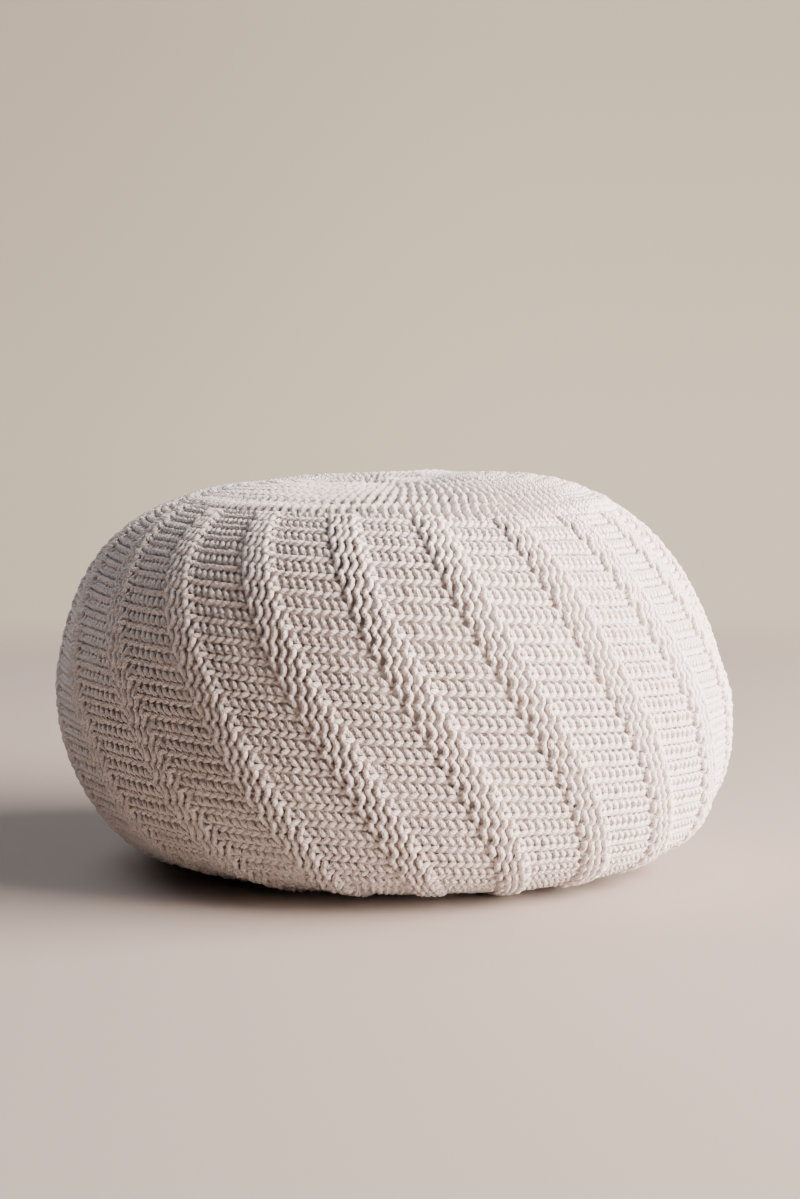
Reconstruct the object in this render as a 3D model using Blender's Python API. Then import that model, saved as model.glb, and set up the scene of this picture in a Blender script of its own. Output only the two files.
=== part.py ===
"""Round knitted floor pouf: one filled solid with a flat underside, full sides,
a crown drawn in at its centre, and raised ribs that cross the sides on the slant.
Units are metres, +Z is up and the front faces -Y."""

import math

import bmesh
import bpy

# Body: half widths and heights above and below the widest line
BODY_RADIUS = 0.275
UPPER_RISE = 0.1681
LOWER_DROP = 0.1479
BASE_TRIM = 0.0040

# Fullness of the section: small powers give square shoulders
UPPER_RADIUS_POWER = 0.404
UPPER_RISE_POWER = 1.146
LOWER_RADIUS_POWER = 0.377
LOWER_DROP_POWER = 0.836

# Crown: a broad swell with a small dimple at its centre
CROWN_SWELL = 0.0033
CROWN_SWELL_RADIUS = 0.1532
DIMPLE_DEPTH = 0.0114
DIMPLE_RADIUS = 0.0488

# Unevenness of the filling
LEAN = -0.0775
LEAN_CURVE = 0.125
CROWN_HIGHER_BACK = 0.009
CROWN_TILT_RIGHT = 0.0360
CROWN_TILT_FRONT = 0.0334
CROWN_TILT_RADIUS = 0.2063
CROWN_LONGER_BACK = 0.061
UPPER_SIDE_SHIFT = -0.0045
LOWER_SIDE_SHIFT = -0.008

# Ribs: they run round the body as they rise
RIB_COUNT = 20
RIB_HEIGHT = 0.0036
RIB_ANGLE_AT_MIDDLE = math.radians(-83.7)
RIB_TURN = math.radians(19.5)
RIB_TURN_RISE = 0.165
RIB_BASE_FADE = 0.050
RIB_CROWN_FADE = 0.060
CROWN_PLAIN_RADIUS = 0.165

# One repeat across a rib: place in the repeat, and share of the rib's height
RIB_SECTION = (
    (-0.21, 0.00),
    (-0.13, 1.00),
    (0.13, 1.00),
    (0.21, 0.00),
    (0.50, 0.12),
)

# Mesh
ROW_SPACING = 0.0175
OUTLINE_STEPS = 600
BASE_RINGS = 2
CENTRE_RING_RADIUS = 0.018

YARN_COLOUR = (0.78, 0.73, 0.66)
YARN_ROUGHNESS = 0.95


def clear_scene():
    for item in list(bpy.data.objects):
        bpy.data.objects.remove(item, do_unlink=True)


def section_outline():
    """Half section from the base's centre to the crown's centre.
    Each point is (radius, height above the widest line, length along the outline)."""
    quarter = math.pi / 2
    points = []
    for step in range(OUTLINE_STEPS + 1):
        angle = -quarter + step * math.pi / OUTLINE_STEPS
        across = max(math.cos(angle), 0.0)
        if angle < 0:
            radius = BODY_RADIUS * across ** LOWER_RADIUS_POWER
            height = -LOWER_DROP * math.sin(-angle) ** LOWER_DROP_POWER
        else:
            radius = BODY_RADIUS * across ** UPPER_RADIUS_POWER
            height = UPPER_RISE * math.sin(angle) ** UPPER_RISE_POWER
        points.append((radius, height))
    outline = []
    length = 0.0
    previous = points[0]
    for point in points:
        length += math.dist(previous, point)
        outline.append((point[0], point[1], length))
        previous = point
    return outline


def outline_at(outline, length):
    """Radius, height and outward direction at a length along the outline."""
    upper = 1
    while upper < len(outline) - 1 and outline[upper][2] < length:
        upper += 1
    first, second = outline[upper - 1], outline[upper]
    span = second[2] - first[2]
    share = (length - first[2]) / span
    radius = first[0] + share * (second[0] - first[0])
    height = first[1] + share * (second[1] - first[1])
    out_r = (second[1] - first[1]) / span
    out_z = -(second[0] - first[0]) / span
    return radius, height, out_r, out_z


def smooth_step(value):
    value = min(max(value, 0.0), 1.0)
    return value * value * (3 - 2 * value)


def uneven(radius, height, angle):
    """Places a point of the round body on the leaning, uneven one."""
    if height > 0:
        height += CROWN_SWELL * math.exp(-(radius / CROWN_SWELL_RADIUS) ** 4)
        height -= DIMPLE_DEPTH * math.exp(-(radius / DIMPLE_RADIUS) ** 2)
    upper = min(max(height / UPPER_RISE, 0.0), 1.0)
    lower = min(max(-height / LOWER_DROP, 0.0), 1.0)
    side = math.cos(angle)
    back = math.sin(angle)
    height *= 1 + upper * CROWN_HIGHER_BACK * back
    tilt = upper * radius * math.exp(-(radius / CROWN_TILT_RADIUS) ** 4)
    height += tilt * (CROWN_TILT_RIGHT * side - CROWN_TILT_FRONT * back)
    stretch = 1 + UPPER_SIDE_SHIFT * math.sin(math.pi * upper) * side
    stretch += LOWER_SIDE_SHIFT * math.sin(math.pi * lower) * side
    stretch -= CROWN_LONGER_BACK * math.cos(2 * angle) * upper
    across = radius * side * stretch + LEAN * height + LEAN_CURVE * height * height
    return across, radius * back * stretch, height


def rib_angle(height_along):
    """Angle of the first rib at a length along the outline from the widest line."""
    return RIB_ANGLE_AT_MIDDLE - RIB_TURN * math.tanh(height_along / RIB_TURN_RISE)


def side_rows(outline, base_height):
    """Lengths along the outline, evenly spaced from the base's edge to the crown."""
    start = next(point[2] for point in outline if point[1] > base_height)
    end = outline[-1][2] - CENTRE_RING_RADIUS
    count = round((end - start) / ROW_SPACING)
    return [start + (end - start) * row / count for row in range(count + 1)]


def body_rings(outline):
    """Rings of points from the base to the crown, and the two centre points."""
    base_height = BASE_TRIM - LOWER_DROP
    rows = side_rows(outline, base_height)
    middle = next(point[2] for point in outline if point[1] >= 0)
    crown_plain = outline[-1][2] - CROWN_PLAIN_RADIUS
    pitch = 2 * math.pi / RIB_COUNT
    rings = []
    for length in rows:
        radius, height, out_r, out_z = outline_at(outline, length)
        rise = smooth_step((length - rows[0]) / RIB_BASE_FADE)
        fall = smooth_step((crown_plain - length) / RIB_CROWN_FADE)
        start_angle = rib_angle(length - middle)
        ring = []
        for rib in range(RIB_COUNT):
            for place, share in RIB_SECTION:
                angle = start_angle + (rib + place) * pitch
                raised = RIB_HEIGHT * (share - 1) * rise * fall
                x, y, z = uneven(radius + raised * out_r, height + raised * out_z, angle)
                ring.append((x, y, max(z, base_height)))
        rings.append(ring)
    edge = rings[0]
    centre_x = sum(point[0] for point in edge) / len(edge)
    centre_y = sum(point[1] for point in edge) / len(edge)
    for inner in range(1, BASE_RINGS + 1):
        share = 1 - inner / (BASE_RINGS + 1)
        ring = []
        for x, y, _ in edge:
            ring.append((centre_x + share * (x - centre_x), centre_y + share * (y - centre_y), base_height))
        rings.insert(0, ring)
    base_centre = (centre_x, centre_y, base_height)
    crown_centre = uneven(0.0, outline[-1][1], 0.0)
    return rings, base_centre, crown_centre


def centre_on_base(points):
    """Moves the points so that their bounding box stands centred on the origin."""
    low = [min(point[axis] for point in points) for axis in range(3)]
    high = [max(point[axis] for point in points) for axis in range(3)]
    shift = (-(low[0] + high[0]) / 2, -(low[1] + high[1]) / 2, -low[2])
    return [tuple(point[axis] + shift[axis] for axis in range(3)) for point in points]


def skin_rings(rings, base_centre, crown_centre):
    """Closed mesh over the rings, fanned in at the base and at the crown."""
    sides = len(rings[0])
    points = [base_centre]
    for ring in rings:
        points.extend(ring)
    points.append(crown_centre)
    mesh = bmesh.new()
    corners = [mesh.verts.new(point) for point in centre_on_base(points)]

    def corner(ring, side):
        return corners[1 + ring * sides + side % sides]

    for side in range(sides):
        mesh.faces.new((corners[0], corner(0, side + 1), corner(0, side)))
        mesh.faces.new((corner(len(rings) - 1, side), corner(len(rings) - 1, side + 1), corners[-1]))
    for ring in range(len(rings) - 1):
        for side in range(sides):
            near = (corner(ring, side), corner(ring, side + 1))
            far = (corner(ring + 1, side + 1), corner(ring + 1, side))
            mesh.faces.new((*near, *far))
    bmesh.ops.triangulate(mesh, faces=mesh.faces, quad_method="BEAUTY")
    bmesh.ops.recalc_face_normals(mesh, faces=mesh.faces)
    return mesh


def cotton_yarn():
    material = bpy.data.materials.new("cotton_yarn")
    material.use_nodes = True
    shader = material.node_tree.nodes["Principled BSDF"]
    shader.inputs["Base Color"].default_value = (*YARN_COLOUR, 1.0)
    shader.inputs["Roughness"].default_value = YARN_ROUGHNESS
    shader.inputs["Metallic"].default_value = 0.0
    return material


def knitted_pouf():
    mesh = skin_rings(*body_rings(section_outline()))
    data = bpy.data.meshes.new("knitted_pouf")
    mesh.to_mesh(data)
    mesh.free()
    data.shade_smooth()
    data.materials.append(cotton_yarn())
    pouf = bpy.data.objects.new("knitted_pouf", data)
    bpy.context.scene.collection.objects.link(pouf)
    return pouf


clear_scene()
knitted_pouf()
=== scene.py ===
import math

import bpy
import numpy as np
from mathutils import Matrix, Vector


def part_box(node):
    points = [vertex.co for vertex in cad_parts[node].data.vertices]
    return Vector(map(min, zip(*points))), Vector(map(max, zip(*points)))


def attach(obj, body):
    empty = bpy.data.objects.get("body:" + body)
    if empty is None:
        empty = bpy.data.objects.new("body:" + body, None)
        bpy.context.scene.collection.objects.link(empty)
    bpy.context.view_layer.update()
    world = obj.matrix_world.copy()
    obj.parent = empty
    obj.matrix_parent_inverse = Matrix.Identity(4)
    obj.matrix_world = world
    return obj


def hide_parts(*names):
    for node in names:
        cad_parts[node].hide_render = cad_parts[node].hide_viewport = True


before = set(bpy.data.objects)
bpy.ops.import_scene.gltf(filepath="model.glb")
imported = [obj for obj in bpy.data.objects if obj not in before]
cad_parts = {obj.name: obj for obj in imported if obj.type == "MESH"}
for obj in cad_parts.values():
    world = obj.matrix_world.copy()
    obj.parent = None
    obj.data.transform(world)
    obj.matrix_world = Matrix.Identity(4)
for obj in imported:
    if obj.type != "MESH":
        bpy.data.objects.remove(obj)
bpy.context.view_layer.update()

poufNode = "knitted_pouf"
poufBody = "root"
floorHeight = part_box(poufNode)[0][2]


# the pouf's form: lengths are in metres, and all but the low edge and the lumps is as in the solid

form = {
    "radius": 0.275,                # half its widest width
    "upperRise": 0.1681,            # from the widest line to the crown
    "lowerDrop": 0.1479,            # from the widest line to the underside
    "baseTrim": 0.0040,             # what the floor flattens
    "upperPowers": (0.404, 1.146),  # square shoulders: powers of the radius and of the rise
    "lowerPowers": (0.377, 0.836),
    "swell": 0.0033,                # the crown swells, and is drawn in at its centre
    "swellRadius": 0.1532,
    "dimpleDepth": 0.0114,
    "dimpleRadius": 0.0488,
    "lean": -0.0775,                # the filling leans to the left
    "leanCurve": 0.125,
    "higherBack": 0.009,
    "tiltRight": 0.0360,            # the crown is highest at its front right
    "tiltFront": 0.0334,
    "tiltRadius": 0.2063,
    "longerBack": 0.061,
    "upperShift": -0.0045,          # how far the sides shift to the right above the widest line, and below
    "lowerShift": -0.008,
    "lowEdge": 0.0026,              # how much fuller the cover hangs at the front, just above the floor
    "lowEdgePlace": -0.124,         # along the section from the widest line
    "lowEdgeSpan": 0.030,
    "lumpHeight": 0.0006875,        # soft lumps of the filling under the knit
    "lumpSpacing": 0.085,
}
# Each wave of the lumps: waves round the body, slant, start and share of the height
lumpWaves = (
    (3, 0.31, 0.7, 1.0),
    (6, -0.55, 2.1, 1.0),
    (13, 0.42, 4.4, 0.6),
)


def smoothStep(value):
    value = np.clip(value, 0.0, 1.0)
    return value * value * (3 - 2 * value)


# Radius, height and length along the half section, from the base's centre to the crown's
def sectionOutline(steps=1200):
    angle = np.linspace(-math.pi / 2, math.pi / 2, steps + 1)
    across = np.clip(np.cos(angle), 0, 1)
    upward = np.abs(np.sin(angle))
    upper = angle >= 0
    upperRadiusPower, risePower = form["upperPowers"]
    lowerRadiusPower, dropPower = form["lowerPowers"]
    radius = form["radius"] * np.where(upper, across ** upperRadiusPower, across ** lowerRadiusPower)
    rise = form["upperRise"] * upward ** risePower
    drop = -form["lowerDrop"] * upward ** dropPower
    height = np.where(upper, rise, drop)
    length = np.concatenate(([0.0], np.cumsum(np.hypot(np.diff(radius), np.diff(height)))))
    return radius, height, length


outlineRadius, outlineHeight, outlineLength = sectionOutline()
fullLength = outlineLength[-1]
widestLength = outlineLength[np.argmax(outlineRadius)]


# How far the filling pushes the cover out at a place
def lumps(angle, length):
    climb = 2 * math.pi / form["lumpSpacing"]
    waves = 0
    for turns, slant, start, share in lumpWaves:
        waves = waves + share * np.sin(turns * angle + slant * climb * length + start)
    low = np.exp(-((length - widestLength - form["lowEdgePlace"]) / form["lowEdgeSpan"]) ** 2)
    front = np.clip(-np.sin(angle), 0, 1)
    return form["lumpHeight"] * waves + form["lowEdge"] * low * front


# Places points, given by angle and length along the section, on the leaning, uneven body
def unevenPoint(angle, length):
    radius = np.interp(length, outlineLength, outlineRadius)
    height = np.interp(length, outlineLength, outlineHeight)
    crown = form["swell"] * np.exp(-(radius / form["swellRadius"]) ** 4)
    crown = crown - form["dimpleDepth"] * np.exp(-(radius / form["dimpleRadius"]) ** 2)
    height = np.where(height > 0, height + crown, height)
    upper = np.clip(height / form["upperRise"], 0, 1)
    lower = np.clip(-height / form["lowerDrop"], 0, 1)
    side, back = np.cos(angle), np.sin(angle)
    height = height * (1 + upper * form["higherBack"] * back)
    tilt = upper * radius * np.exp(-(radius / form["tiltRadius"]) ** 4)
    height = height + tilt * (form["tiltRight"] * side - form["tiltFront"] * back)
    stretch = 1 + form["upperShift"] * np.sin(math.pi * upper) * side
    stretch = stretch + form["lowerShift"] * np.sin(math.pi * lower) * side
    stretch = stretch - form["longerBack"] * np.cos(2 * angle) * upper
    across = radius * side * stretch + form["lean"] * height + form["leanCurve"] * height ** 2
    height = np.maximum(height, form["baseTrim"] - form["lowerDrop"])
    return np.stack([across, radius * back * stretch, height], axis=-1)


# How far the body moves to stand where the frame's node stands
def bodyShift(columns=361, rows=400):
    angle, length = np.meshgrid(np.linspace(0, 2 * math.pi, columns), np.linspace(0, fullLength, rows))
    points = unevenPoint(angle, length).reshape(-1, 3)
    low, high = points.min(axis=0), points.max(axis=0)
    nodeLow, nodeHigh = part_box(poufNode)
    middle = (np.array(nodeLow) + np.array(nodeHigh) - low - high) / 2
    return np.array([middle[0], middle[1], nodeLow[2] - low[2]])


shift = bodyShift()


# Points of the body's outer surface, and the directions that point straight out of it
def surfaceFrame(angle, length, step=0.0006):
    length = np.clip(length, 2 * step, fullLength - 2 * step)
    turn = step / np.maximum(np.interp(length, outlineLength, outlineRadius), 4 * step)
    sideways = unevenPoint(angle + turn, length) - unevenPoint(angle - turn, length)
    upward = unevenPoint(angle, length + step) - unevenPoint(angle, length - step)
    outward = np.cross(sideways, upward)
    outward /= np.maximum(np.linalg.norm(outward, axis=-1, keepdims=True), 1e-12)
    return unevenPoint(angle, length) + shift, outward


# materials

def linearColour(hexColour):
    values = [int(hexColour[place:place + 2], 16) / 255 for place in (1, 3, 5)]
    return [v / 12.92 if v <= 0.04045 else ((v + 0.055) / 1.055) ** 2.4 for v in values] + [1.0]


def addNode(tree, kind, settings=None, links=None):
    node = tree.nodes.new(kind)
    for name, value in (settings or {}).items():
        if isinstance(name, str) and hasattr(node, name):
            setattr(node, name, value)
        else:
            node.inputs[name].default_value = value
    for name, output in (links or {}).items():
        tree.links.new(output, node.inputs[name])
    return node


def newMaterial(name):
    material = bpy.data.materials.new(name)
    material.use_nodes = True
    return material, material.node_tree, material.node_tree.nodes["Principled BSDF"]


cottonYarn = {
    "colour": "#E9E0DB",            # undyed cream cotton
    # the darker cotton tone, also used for the painted shade in the grooves between the plies
    "toneAndGrooveShadeColour": "#D9CCC5",
    "roughness": 0.93,
    "specular": 0.2,
    "sheen": 0.25,
    "sheenRoughness": 0.6,
    "plies": 4,
    "plyPitch": 0.0100,             # metres of yarn for one turn of a ply, so a ridge every 2.5 mm
    "plyDepth": 0.00018,
    "paintedPlyShade": -0.26,              # painted light on the tops of the plies, and painted shade in the grooves between them
    "fluffPerMetre": 900.0,         # fibres are 0.02 mm thick: drawn as tufts of about 1 mm, to show
    "fluffDepth": 0.00013,
    "tonePerMetre": 55.0,           # the cotton's tone changes every 18 mm or so
    "toneShare": 0.55,
    "glow": 0.25,                   # light that passes through the loose fibres
    "glowRadius": (1.0, 0.96, 0.92),
    "glowDepth": 0.0025,
}


# Plied cotton gives a matt surface, with soft ridges where the plies turn and a short fluff of fibres. Its
# colour varies at random in tone, and carries painted shade in the grooves between the plies and painted
# light on their tops
def makeCottonYarn():
    material, tree, shader = newMaterial("cotton_yarn")
    coords = addNode(tree, "ShaderNodeUVMap", {"uv_map": "yarn"})
    parts = addNode(tree, "ShaderNodeSeparateXYZ", links={"Vector": coords.outputs["UV"]})
    ridgesPerMetre = cottonYarn["plies"] / cottonYarn["plyPitch"]
    along = addNode(tree, "ShaderNodeMath", {"operation": "MULTIPLY", 1: ridgesPerMetre},
                    {0: parts.outputs["X"]})
    turned = addNode(tree, "ShaderNodeMath", {"operation": "MULTIPLY_ADD", 1: float(cottonYarn["plies"])},
                     {0: parts.outputs["Y"], 2: along.outputs[0]})
    angle = addNode(tree, "ShaderNodeMath", {"operation": "MULTIPLY", 1: 2 * math.pi}, {0: turned.outputs[0]})
    wave = addNode(tree, "ShaderNodeMath", {"operation": "COSINE"}, {0: angle.outputs[0]})
    place = addNode(tree, "ShaderNodeTexCoord")
    fluff = addNode(tree, "ShaderNodeTexNoise",
                    {"Scale": cottonYarn["fluffPerMetre"], "Detail": 3.0, "Roughness": 0.7},
                    {"Vector": place.outputs["Object"]})
    plyBump = addNode(tree, "ShaderNodeBump", {"Strength": 1.0, "Distance": cottonYarn["plyDepth"]},
                      {"Height": wave.outputs[0]})
    fluffBump = addNode(tree, "ShaderNodeBump", {"Strength": 1.0, "Distance": cottonYarn["fluffDepth"]},
                        {"Height": fluff.outputs["Fac"], "Normal": plyBump.outputs["Normal"]})
    tone = addNode(tree, "ShaderNodeTexNoise", {"Scale": cottonYarn["tonePerMetre"], "Detail": 2.0},
                   {"Vector": place.outputs["Object"]})
    # painted shade in the ply grooves and painted light on the ply tops, added to the cotton's random tone
    paintedPlyShade = cottonYarn["paintedPlyShade"]
    groove = addNode(tree, "ShaderNodeMath", {"operation": "MULTIPLY_ADD", 1: paintedPlyShade, 2: -paintedPlyShade / 2},
                     {0: wave.outputs[0]})
    share = addNode(tree, "ShaderNodeMath",
                    {"operation": "MULTIPLY_ADD", 1: cottonYarn["toneShare"], "use_clamp": True},
                    {0: tone.outputs["Fac"], 2: groove.outputs[0]})
    colour = addNode(tree, "ShaderNodeMix", {"data_type": "RGBA"}, {"Factor": share.outputs[0]})
    colour.inputs[6].default_value = linearColour(cottonYarn["colour"])         # the mix's two colours
    colour.inputs[7].default_value = linearColour(cottonYarn["toneAndGrooveShadeColour"])
    tree.links.new(colour.outputs[2], shader.inputs["Base Color"])
    tree.links.new(fluffBump.outputs["Normal"], shader.inputs["Normal"])
    shader.inputs["Roughness"].default_value = cottonYarn["roughness"]
    shader.inputs["Specular IOR Level"].default_value = cottonYarn["specular"]
    shader.inputs["Sheen Weight"].default_value = cottonYarn["sheen"]
    shader.inputs["Sheen Roughness"].default_value = cottonYarn["sheenRoughness"]
    shader.inputs["Subsurface Weight"].default_value = cottonYarn["glow"]
    shader.inputs["Subsurface Radius"].default_value = cottonYarn["glowRadius"]
    shader.inputs["Subsurface Scale"].default_value = cottonYarn["glowDepth"]
    return material


# the knit

knit = {
    "yarnDiameter": 0.00445,
    "courses": 240,             # rows of the knitting, which stand upright round the sides
    "repeat": 12,
    "purlCourses": 4,           # the raised band of each repeat
    "repeatsPerPiece": 4,
    "waleSpacing": 0.01305,     # at the widest line; it opens towards the crown and the base
    "waleSpread": 0.000065,     # how fast it opens
    "widestWale": 0.0150,
    "bandTurn": math.radians(19.5),     # how far the bands turn as they rise, and over what rise
    "bandTurnRise": 0.165,
    "bandAngle": math.radians(-83.7),   # the first band's middle, at the widest line
    "rowTilt": 0.0165,          # the wales dip to the right by this, and not near the crown's centre
    "rowTiltFrom": 0.3,
    "rowTiltSpan": 0.5,
    "reliefLow": -0.12,         # the knit's middle between the bands and on them, in yarn diameters
    "reliefHigh": 0.22,
    "reliefSlope": 0.02,        # how much lower the knit lies just before the next band
    "slopeCourses": 6,
    "bandRise": (-0.75, 1.15),  # where a band's near edge begins to rise, and its width, in courses
    "bandFall": (5.2, 1.5),     # where its far edge ends, and its width
    "stepWidth": 0.2,           # share of a wale, each side of its edge, in which a band steps to the left
    "endRelief": 0.10,          # the knit's middle on the crown and the base, where no bands run
    "baseFade": 0.020,
    "crownFade": 0.045,
    "middleDepth": 1.35,        # depth of the knit's middle below the body's surface, in yarn diameters
    "leastDepth": 0.25,
    "endDive": 0.5,             # how far the yarn's ends tuck in, in yarn diameters
    "endSpan": 0.3,             # and over how much of a stitch
    "floorClearance": 1.02,     # yarn radii between the yarn's middle and the floor
    "crownRadius": 0.70,        # shares of the radius where the crown and the base begin
    "baseRadius": 0.62,
    "edgeBlend": 0.06,
    "linkBlend": 0.3,           # how far the stitch next to it sets a link's shape
    "flatterReach": 0.24,       # how much of its reach a flatter stitch on the crown and the base loses
    "flatterMiddle": -0.10,
    "flatterSpan": 0.74,
    "ringOverlap": 0.3,         # how far the outer ring runs under the sides, in wales
    "ringSlant": 0.35,          # how many courses the rings turn for each wale
    "sides": 5,                 # of a yarn tube
    "endSides": 4,              # the same on the crown and the base
    "seed": 7,
}
# Small differences from stitch to stitch, as standard deviations
unevenness = {
    "acrossShare": 0.05,
    "across": 0.03,
    "along": 0.012,
    "depth": 0.04,
    "thickness": 0.035,
}

# One half of a stitch, from its link with the stitch before it up to its head. Each line gives
# along, across, depth and thickness for a knit stitch, and then for a purl one. Along is a share
# of the stitch's width, across a share of the step between courses, the rest is in yarn diameters.
halfStitch = (
    ("link", (0.085, -0.64, -0.44, 0.84), (0.10, -0.80, 0.50, 1.10)),
    ("linkEnd", (0.240, -0.54, -0.36, 0.86), (0.28, -0.62, 0.36, 1.04)),
    ("foot", (0.410, -0.42, 0.06, 0.98), (0.40, -0.26, -0.28, 0.90)),
    ("leg", (0.280, -0.04, 0.36, 1.10), (0.36, 0.05, -0.46, 0.90)),
    ("shoulder", (0.098, 0.34, 0.17, 0.84), (0.27, 0.30, -0.26, 0.92)),
    ("headEnd", (0.220, 0.66, -0.14, 0.86), (0.31, 0.52, 0.26, 1.02)),
    ("head", (0.500, 0.78, -0.26, 0.94), (0.50, 0.60, 0.46, 1.08)),
)
# A knit stitch's halves differ: what the upper one gains, and the lower one loses, along, across and
# in thickness
halfSkew = {"foot": (0.02, 0.03, 0.03), "leg": (-0.02, 0.00, 0.07), "shoulder": (-0.062, -0.03, 0.02)}
# The strand that leaves a band lies over its edge: how much higher, in yarn diameters
edgeLift = {"foot": 0.16, "leg": 0.40, "shoulder": 0.66, "headEnd": 0.35}
# How far the next course's stitch, and not its own, sets a point
newerShare = {"leg": 0.20, "shoulder": 0.56, "headEnd": 1.0, "head": 1.0}


# Lengths along the section at each wale boundary, counted from the widest line
def waleTable():
    runs = []
    for reach in (min(fullLength - widestLength, widestLength), widestLength):
        lengths = [0.0]
        while lengths[-1] < reach:
            spread = knit["waleSpread"] * (lengths[-1] / knit["waleSpacing"]) ** 2
            lengths.append(lengths[-1] + min(knit["waleSpacing"] + spread, knit["widestWale"]))
        runs.append(lengths)
    up, down = runs
    counts = np.arange(-len(down) + 1, len(up))
    return counts, np.array([-length for length in down[:0:-1]] + up)


waleCounts, waleLengths = waleTable()


def radiusShare(length):
    return np.interp(length, outlineLength, outlineRadius) / form["radius"]


# The wale boundary nearest to where the body has narrowed to a share of its radius
def waleWhere(share, above):
    shares = radiusShare(np.clip(waleLengths + widestLength, 0, fullLength))
    sameSide = (waleLengths > 0) == above
    nearest = np.argmin(np.where(sameSide, np.abs(shares - share), math.inf))
    return int(waleCounts[nearest])


# Length along the section where the body has narrowed to a share of its radius
def lengthAtShare(share, above, samples=400):
    lengths = np.linspace(widestLength, fullLength if above else 0.0, samples)
    return float(np.interp(-share, -radiusShare(lengths), lengths))


floorLength = outlineLength[np.argmax(outlineHeight > form["baseTrim"] - form["lowerDrop"])]
crownLength = lengthAtShare(knit["crownRadius"] - knit["edgeBlend"], True)


def rowDip(angle, length):
    fade = smoothStep((radiusShare(length) - knit["rowTiltFrom"]) / knit["rowTiltSpan"])
    return knit["rowTilt"] * np.cos(angle) * fade


# Angle and length of a place in the sides. Courses lean with the bands that cross them.
def knitPlace(course, wale):
    length = np.interp(wale, waleCounts, waleLengths)
    courseAngle = 2 * math.pi / knit["courses"]
    lean = courseAngle * wale - knit["bandTurn"] * np.tanh(length / knit["bandTurnRise"])
    angle = knit["bandAngle"] + courseAngle * (course - knit["purlCourses"] / 2) + lean
    length = length + widestLength
    return angle, length - rowDip(angle, length)


# How far the knit's middle stands out, in yarn diameters. Bands climb in steps, one for each wale.
def bandRelief(course, wale):
    row = np.floor(wale)
    within = wale - row
    stepWidth = knit["stepWidth"]
    row = row + 0.5 * smoothStep((within - 1 + stepWidth) / stepWidth)
    row = row - 0.5 * (1 - smoothStep(within / stepWidth))
    place = np.mod(course + row + 1.0, knit["repeat"]) - 1.0
    riseStart, riseWidth = knit["bandRise"]
    fallEnd, fallWidth = knit["bandFall"]
    band = smoothStep((place - riseStart) / riseWidth) * smoothStep((fallEnd - place) / fallWidth)
    past = np.clip(place - knit["purlCourses"], 0, knit["slopeCourses"])
    relief = knit["reliefLow"] + (knit["reliefHigh"] - knit["reliefLow"]) * band
    relief = relief - knit["reliefSlope"] * past / knit["slopeCourses"]
    length = np.interp(wale, waleCounts, waleLengths) + widestLength
    fade = smoothStep((length - floorLength) / knit["baseFade"])
    fade = fade * smoothStep((crownLength - length) / knit["crownFade"])
    return knit["endRelief"] + (relief - knit["endRelief"]) * fade


def plainRelief(course, wale):
    return np.full(course.shape, knit["endRelief"])


# 1 for a knit stitch and -1 for a purl one. The bands climb one course to the left for each wale.
def stitchKinds(courses, wales):
    course, wale = np.meshgrid(courses, wales, indexing="ij")
    return np.where(np.mod(course + wale, knit["repeat"]) < knit["purlCourses"], -1.0, 1.0)


# Along, across, depth and thickness of every point of every stitch
def stitchPath(own, newer, before, after):
    rows = [(row, False) for row in halfStitch] + [(row, True) for row in halfStitch[-2::-1]]
    values = []
    for (point, asKnit, asPurl), mirrored in rows:
        newerPart = newerShare.get(point, 0.0)
        kind = (1 - newerPart) * own + newerPart * newer
        if point == "link":
            kind = (1 - knit["linkBlend"]) * own + knit["linkBlend"] * (after if mirrored else before)
        share = (kind + 1) / 2
        place = [share * knitValue + (1 - share) * purlValue for knitValue, purlValue in zip(asKnit, asPurl)]
        steeper, nearer, fuller = halfSkew.get(point, (0.0, 0.0, 0.0))
        upper = 1 if mirrored else -1
        place[0] = place[0] + upper * steeper * share
        place[1] = place[1] + upper * nearer * share
        place[3] = place[3] * (1 + upper * fuller * share)
        if mirrored:
            place[0] = 1 - place[0]
        else:
            leavesBand = (own + 1) * (1 - newer) / 4    # 1 for a knit stitch beside a band's purl one
            place[2] = place[2] + edgeLift.get(point, 0.0) * leavesBand
        values.append(place)
    return [np.stack([place[number] for place in values], axis=-1) for number in range(4)]


# Closed tubes along rows of points: corners, faces, and the length along the yarn at each point
def yarnTubes(centres, outward, radii, sides):
    ahead = np.gradient(centres, axis=1)
    ahead /= np.maximum(np.linalg.norm(ahead, axis=-1, keepdims=True), 1e-9)
    across = np.cross(ahead, outward)
    across /= np.maximum(np.linalg.norm(across, axis=-1, keepdims=True), 1e-9)
    over = np.cross(across, ahead)
    turn = 2 * math.pi * np.arange(sides) / sides
    ring = np.cos(turn)[:, None] * across[:, :, None] + np.sin(turn)[:, None] * over[:, :, None]
    rings = centres[:, :, None] + radii[:, :, None, None] * ring
    tubes, points = centres.shape[:2]
    tips = np.stack([centres[:, 0], centres[:, -1]], axis=1)
    corners = np.concatenate([rings.reshape(tubes, -1, 3), tips], axis=1).reshape(-1, 3)
    side = np.arange(sides)
    nextSide = (side + 1) % sides
    near = np.arange(points - 1)[:, None] * sides
    far = near + sides
    quads = np.stack([near + side, far + side, far + nextSide, near + nextSide], axis=-1).reshape(-1, 4)
    firstTip = points * sides
    lastRing = firstTip - sides
    startCap = np.stack([np.full(sides, firstTip), side, nextSide], axis=-1)
    endCap = np.stack([np.full(sides, firstTip + 1), lastRing + nextSide, lastRing + side], axis=-1)
    start = (np.arange(tubes) * (firstTip + 2))[:, None, None]
    quads = (quads[None] + start).reshape(-1, 4)
    caps = (np.concatenate([startCap, endCap])[None] + start).reshape(-1, 3)
    steps = np.linalg.norm(np.diff(centres, axis=1), axis=-1)
    run = np.concatenate([np.zeros((tubes, 1)), np.cumsum(steps, axis=1)], axis=1)
    return corners, quads, caps, run


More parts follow.
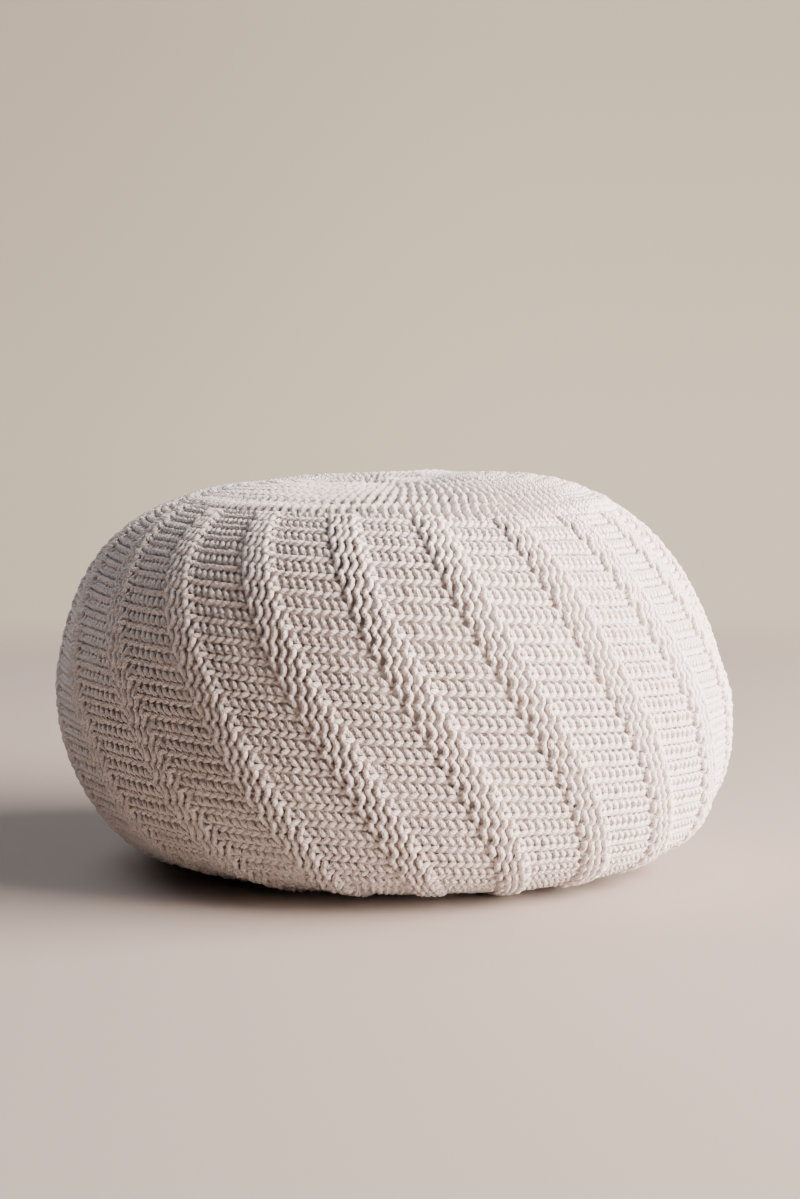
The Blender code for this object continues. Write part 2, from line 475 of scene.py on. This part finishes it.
# For the corners of each quad, the length along the yarn in metres and the share of a turn round it
def yarnUv(run, sides):
    shape = (run.shape[0], run.shape[1] - 1, sides)
    length = np.broadcast_to(run[:, :-1, None], shape)
    nextLength = np.broadcast_to(run[:, 1:, None], shape)
    turn = np.broadcast_to(np.arange(sides) / sides, shape)
    nextTurn = np.broadcast_to((np.arange(sides) + 1) / sides, shape)
    quad = ((length, turn), (nextLength, turn), (nextLength, nextTurn), (length, nextTurn))
    return np.stack([np.stack(pair, axis=-1) for pair in quad], axis=-2).reshape(-1, 2)


def showPiece(name, mesh, material):
    mesh.shade_smooth()
    mesh.materials.append(material)
    piece = bpy.data.objects.new(name, mesh)
    bpy.context.scene.collection.objects.link(piece)
    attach(piece, poufBody)
    return piece


# One mesh from groups of yarn
def yarnObject(name, groups, material):
    vertices, quads, caps, quadUvs, capUvs = [], [], [], [], []
    offset = 0
    for centres, outward, radii, sides in groups:
        corners, faces, ends, run = yarnTubes(centres, outward, radii, sides)
        quads.append(faces + offset)
        caps.append(ends + offset)
        offset += len(corners)
        vertices.append(corners)
        quadUvs.append(yarnUv(run, sides))
        capUvs.append(np.zeros((ends.size, 2)))
    vertices, quads, caps = np.concatenate(vertices), np.concatenate(quads), np.concatenate(caps)
    mesh = bpy.data.meshes.new(name)
    mesh.vertices.add(len(vertices))
    mesh.vertices.foreach_set("co", vertices.astype(np.float32).ravel())
    corners = np.concatenate([quads.ravel(), caps.ravel()])
    starts = np.concatenate([np.arange(len(quads)) * 4, quads.size + np.arange(len(caps)) * 3])
    mesh.loops.add(len(corners))
    mesh.loops.foreach_set("vertex_index", corners.astype(np.int32))
    mesh.polygons.add(len(starts))
    mesh.polygons.foreach_set("loop_start", starts.astype(np.int32))
    mesh.update(calc_edges=True)
    uv = np.concatenate(quadUvs + capUvs)
    mesh.uv_layers.new(name="yarn").data.foreach_set("uv", uv.astype(np.float32).ravel())
    mesh.validate()
    showPiece(name, mesh, material)


# Centre lines and radii of each course's yarn, laid on the body
def knittedRows(courses, wales, place, kinds, newer, relief, sides, draws, thick=1.0, curve=1.0):
    before = np.concatenate([kinds[:, :1], kinds[:, :-1]], axis=1)
    after = np.concatenate([kinds[:, 1:], kinds[:, -1:]], axis=1)
    along, across, depth, thickness = stitchPath(kinds, newer, before, after)
    reach = np.clip((across - knit["flatterMiddle"]) / knit["flatterSpan"], -1, 1)
    across = across - knit["flatterReach"] * (1 - curve) * reach
    shape = kinds.shape + (1,)
    across = across * (1 + draws.normal(0, unevenness["acrossShare"], shape))
    across = across + draws.normal(0, unevenness["across"], shape)
    along = along + draws.normal(0, unevenness["along"], shape)
    depth = depth + draws.normal(0, unevenness["depth"], shape)
    thickness = thickness * (1 + draws.normal(0, unevenness["thickness"], shape))
    count = len(courses)
    wale = (wales[None, :, None] + along).reshape(count, -1)
    course = (courses[:, None, None] - across).reshape(count, -1)
    angle, length = place(course, wale)
    surface, outward = surfaceFrame(angle, length)
    diameter = knit["yarnDiameter"]
    lift = (depth.reshape(count, -1) + relief(course, wale) - knit["middleDepth"]) * diameter
    lift = np.minimum(lift, -knit["leastDepth"] * diameter)
    toStart = wale - wale.min(axis=1, keepdims=True)
    toEnd = wale.max(axis=1, keepdims=True) - wale
    tucked = 1 - smoothStep(np.minimum(toStart, toEnd) / knit["endSpan"])
    lift = lift - knit["endDive"] * diameter * tucked + lumps(angle, length)
    centres = surface + outward * lift[..., None]
    radii = thickness.reshape(count, -1) * thick * diameter / 2
    centres[..., 2] = np.maximum(centres[..., 2], floorHeight + radii * knit["floorClearance"])
    return centres, outward, radii, sides


def makeSides(material, draws, lowWale, highWale):
    wales = np.arange(lowWale, highWale)
    perPiece = knit["repeatsPerPiece"] * knit["repeat"]
    for number in range(knit["courses"] // perPiece):
        courses = np.arange(number * perPiece, (number + 1) * perPiece)
        kinds = stitchKinds(courses, wales)
        newer = stitchKinds(courses - 1, wales)
        rows = knittedRows(courses, wales, knitPlace, kinds, newer, bandRelief, knit["sides"], draws)
        yarnObject(f"knit_side_{number + 1}", [rows], material)
        print("side", number + 1, "knitted")


# Rings of purl stitches from the sides in to a centre. Each gives the share of the radius where
# it ends, its courses, its wales, its thickness and how far its stitches curve. The outermost one
# has long stitches, where courses are taken together.
crownRings = (
    (0.610, 150, 1, 1.38, 0.80),
    (0.400, 132, 4, 1.26, 0.60),
    (0.210, 84, 3, 1.26, 0.60),
    (0.085, 42, 2, 1.14, 0.60),
    (0.025, 16, 1, 1.08, 0.60),
)
baseRings = (
    (0.400, 76, 2, 1.60, 0.60),
    (0.150, 40, 2, 1.60, 0.60),
    (0.030, 14, 1, 1.30, 0.60),
)


def makeEnd(name, material, draws, edgeWale, rings):
    edge = widestLength + waleLengths[list(waleCounts).index(edgeWale)]
    above = edge > widestLength
    overlap = knit["ringOverlap"] * knit["waleSpacing"]
    groups = []
    for share, courses, count, thick, curve in rings:
        inner = lengthAtShare(share, above)
        low, high = (edge - overlap, inner) if above else (inner, edge + overlap)
        step = 2 * math.pi / courses

        def place(course, wale):
            length = low + (high - low) * wale / count
            angle = course * step + knit["ringSlant"] * step * wale
            return angle, length - rowDip(angle, length)

        kinds = -np.ones((courses, count))
        groups.append(knittedRows(np.arange(courses), np.arange(count), place, kinds, kinds, plainRelief,
                                  knit["endSides"], draws, thick, curve))
        edge = inner
    yarnObject(name, groups, material)
    print(name, "knitted")


# the filled body, which shows between the stitches

filledBody = {
    "depth": 1.72,                  # below the cover's outer surface, in yarn diameters
    "endDepth": 1.55,               # the same on the crown and the base
    "columns": 240,
    "rows": 48,
    "poleGap": 0.012,               # from the last row to the middle of the crown or the base
    "floorGap": 0.0015,
    "colour": "#E6DCD6",
    "roughness": 0.95,
    "fluffPerMetre": 700.0,         # tufts of fibre of about 1.4 mm, since single ones are too fine to show
    "fluffDepth": 0.0002,
}


# The same cotton deep between the stitches: plain, matt and fluffy, where less light reaches it
def makeCoverBacking():
    material, tree, shader = newMaterial("cotton_backing")
    place = addNode(tree, "ShaderNodeTexCoord")
    fluff = addNode(tree, "ShaderNodeTexNoise", {"Scale": filledBody["fluffPerMetre"], "Detail": 3.0},
                    {"Vector": place.outputs["Object"]})
    bump = addNode(tree, "ShaderNodeBump", {"Strength": 1.0, "Distance": filledBody["fluffDepth"]},
                   {"Height": fluff.outputs["Fac"]})
    tree.links.new(bump.outputs["Normal"], shader.inputs["Normal"])
    shader.inputs["Base Color"].default_value = linearColour(filledBody["colour"])
    shader.inputs["Roughness"].default_value = filledBody["roughness"]
    return material


# The knit's relief over a place on the body, and a plain one on the crown and the base
def coverRelief(angle, length):
    height = length - widestLength
    wale = np.interp(height, waleLengths, waleCounts)
    courseAngle = 2 * math.pi / knit["courses"]
    turned = knit["bandAngle"] - knit["bandTurn"] * np.tanh(height / knit["bandTurnRise"])
    course = (angle - turned) / courseAngle + knit["purlCourses"] / 2
    edge = np.where(height > 0, knit["crownRadius"], knit["baseRadius"])
    sides = smoothStep((radiusShare(length) - edge) / knit["edgeBlend"])
    return sides * bandRelief(course, wale) - (1 - sides) * (filledBody["endDepth"] - filledBody["depth"])


def makeFilledBody(material):
    columns, rows = filledBody["columns"], filledBody["rows"]
    angles = 2 * math.pi * np.arange(columns) / columns
    lengths = np.linspace(filledBody["poleGap"], fullLength - filledBody["poleGap"], rows)
    angle, length = np.meshgrid(angles, lengths)
    surface, outward = surfaceFrame(angle, length)
    lift = (coverRelief(angle, length) - filledBody["depth"]) * knit["yarnDiameter"] + lumps(angle, length)
    points = (surface + outward * lift[..., None]).reshape(-1, 3)
    points[:, 2] = np.maximum(points[:, 2], floorHeight + filledBody["floorGap"])
    faces = []
    for row in range(rows - 1):
        near, far = row * columns, (row + 1) * columns
        for column in range(columns):
            nextColumn = (column + 1) % columns
            faces.append((near + column, near + nextColumn, far + nextColumn, far + column))
    vertices = points.tolist()
    for row in (0, rows - 1):
        ring = row * columns
        vertices.append(points[ring:ring + columns].mean(axis=0).tolist())
        for column in range(columns):
            edge = (ring + column, ring + (column + 1) % columns)
            faces.append((len(vertices) - 1, *(edge if row else reversed(edge))))
    mesh = bpy.data.meshes.new("filled_body")
    mesh.from_pydata(vertices, [], faces)
    mesh.update()
    piece = showPiece("filled_body", mesh, material)
    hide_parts(poufNode)


# the studio

studio = {
    "floorColour": "#A99E95",
    "floorRoughness": 0.75,
    "floorSize": 14.0,
    "floorFadeStart": 1.25,         # metres from the pouf where the floor begins to fade out
    "floorFadeEnd": 2.1,
    "wallColour": "#DDC8AE",
    "wallStrength": (1.27, 1.62),   # how bright the background looks, on the left and on the right
    "wallSpan": (-0.17, 0.06),
    "wallRise": (-0.04, 0.10),
    "wallTop": 0.84,                # how much of that is left higher up
    "keyPower": 1325.0,             # a large window's light from the right
    "keyPlace": (3.1, -0.66, 0.94),
    "keySize": 3.5,
    "keyColour": "#FFEDE5",
    "fillPower": 46.0,              # daylight from above on the left
    "fillPlace": (-1.6, 1.0, 2.4),
    "fillSize": 2.0,
    "fillColour": "#EFF1F8",
    "aimHeight": 0.14,
    "ambientColour": "#D2D5DB",     # the rest of the room
    "ambientStrength": 0.05,
}

view = {
    "focalPixels": 2830.0,          # matched to the photo's outline, for its 1199 pixels of height
    "imageHeight": 1199,
    "imageWidth": 800,
    "sensorWidth": 36.0,
    "farthest": 60.0,
    "elevation": 0.1273,            # radians above level, from the middle of the pouf's widest line
    "distance": 2.3158,
    "middlePixel": (394.25, 683.86),
}


def addCamera():
    camera = bpy.data.cameras.new("camera")
    camera.sensor_width = view["sensorWidth"]
    camera.lens = view["focalPixels"] / view["imageHeight"] * view["sensorWidth"]
    camera.clip_end = view["farthest"]
    piece = bpy.data.objects.new("camera", camera)
    bpy.context.scene.collection.objects.link(piece)
    rise = view["distance"] * math.sin(view["elevation"])
    back = view["distance"] * math.cos(view["elevation"])
    piece.location = Vector(shift) + Vector((0.0, -back, rise))
    right = (view["middlePixel"][0] - view["imageWidth"] / 2) / view["focalPixels"]
    down = (view["middlePixel"][1] - view["imageHeight"] / 2) / view["focalPixels"]
    pitch = view["elevation"] - math.atan(down)
    yaw = math.atan(right)
    look = Vector((-math.sin(yaw) * math.cos(pitch), math.cos(yaw) * math.cos(pitch), -math.sin(pitch)))
    piece.rotation_euler = look.to_track_quat("-Z", "Y").to_euler()
    bpy.context.scene.camera = piece


def addAreaLight(name, place, size, power, colour):
    light = bpy.data.lights.new(name, "AREA")
    light.size = size
    light.energy = power
    light.color = linearColour(colour)[:3]
    piece = bpy.data.objects.new(name, light)
    bpy.context.scene.collection.objects.link(piece)
    piece.location = place
    aim = Vector((0.0, 0.0, studio["aimHeight"])) - piece.location
    piece.rotation_euler = aim.to_track_quat("-Z", "Y").to_euler()


# Matt painted board. It fades out far from the pouf, so that no edge shows against the background.
def makePaleFloor():
    material, tree, shader = newMaterial("pale_painted_board")
    shader.inputs["Base Color"].default_value = linearColour(studio["floorColour"])
    shader.inputs["Roughness"].default_value = studio["floorRoughness"]
    place = addNode(tree, "ShaderNodeTexCoord")
    away = addNode(tree, "ShaderNodeVectorMath", {"operation": "LENGTH"}, {0: place.outputs["Object"]})
    fade = addNode(tree, "ShaderNodeMapRange",
                   {"interpolation_type": "SMOOTHSTEP", 1: studio["floorFadeStart"],
                    2: studio["floorFadeEnd"], 3: 1.0, 4: 0.0},
                   {0: away.outputs["Value"]})
    tree.links.new(fade.outputs[0], shader.inputs["Alpha"])
    return material


# The camera sees a pale background, and the pouf is lit by the plain room
def addBackground():
    world = bpy.data.worlds.new("studio")
    bpy.context.scene.world = world
    world.use_nodes = True
    tree = world.node_tree
    ambient = tree.nodes["Background"]
    ambient.inputs["Color"].default_value = linearColour(studio["ambientColour"])
    ambient.inputs["Strength"].default_value = studio["ambientStrength"]
    place = addNode(tree, "ShaderNodeTexCoord")
    parts = addNode(tree, "ShaderNodeSeparateXYZ", links={"Vector": place.outputs["Generated"]})
    left, right = studio["wallSpan"]
    dim, bright = studio["wallStrength"]
    across = addNode(tree, "ShaderNodeMapRange",
                     {"interpolation_type": "SMOOTHSTEP", 1: left, 2: right, 3: dim, 4: bright},
                     {0: parts.outputs["X"]})
    low, high = studio["wallRise"]
    upward = addNode(tree, "ShaderNodeMapRange", {1: low, 2: high, 3: 1.0, 4: studio["wallTop"]},
                     {0: parts.outputs["Z"]})
    strength = addNode(tree, "ShaderNodeMath", {"operation": "MULTIPLY"},
                       {0: across.outputs[0], 1: upward.outputs[0]})
    wall = addNode(tree, "ShaderNodeBackground", {"Color": linearColour(studio["wallColour"])},
                   {"Strength": strength.outputs[0]})
    rays = addNode(tree, "ShaderNodeLightPath")
    both = addNode(tree, "ShaderNodeMixShader",
                   links={0: rays.outputs["Is Camera Ray"], 1: ambient.outputs[0], 2: wall.outputs[0]})
    tree.links.new(both.outputs[0], tree.nodes["World Output"].inputs["Surface"])


def addStudio():
    addBackground()
    bpy.ops.object.select_all(action="DESELECT")
    bpy.ops.mesh.primitive_plane_add(size=studio["floorSize"], location=(0.0, 0.0, 0.0))
    floor = bpy.context.active_object
    floor.name = "studio_floor"
    floor.data.materials.append(makePaleFloor())
    addAreaLight("key_light", studio["keyPlace"], studio["keySize"], studio["keyPower"], studio["keyColour"])
    addAreaLight("fill_light", studio["fillPlace"], studio["fillSize"], studio["fillPower"],
                 studio["fillColour"])


addStudio()
addCamera()
print("studio and camera placed")
yarnMaterial = makeCottonYarn()
makeFilledBody(makeCoverBacking())
print("filled body made")
stitchDraws = np.random.default_rng(knit["seed"])
crownWale = waleWhere(knit["crownRadius"], True)
baseWale = waleWhere(knit["baseRadius"], False)
makeSides(yarnMaterial, stitchDraws, baseWale, crownWale)
makeEnd("knit_crown", yarnMaterial, stitchDraws, crownWale, crownRings)
makeEnd("knit_base", yarnMaterial, stitchDraws, baseWale, baseRings)
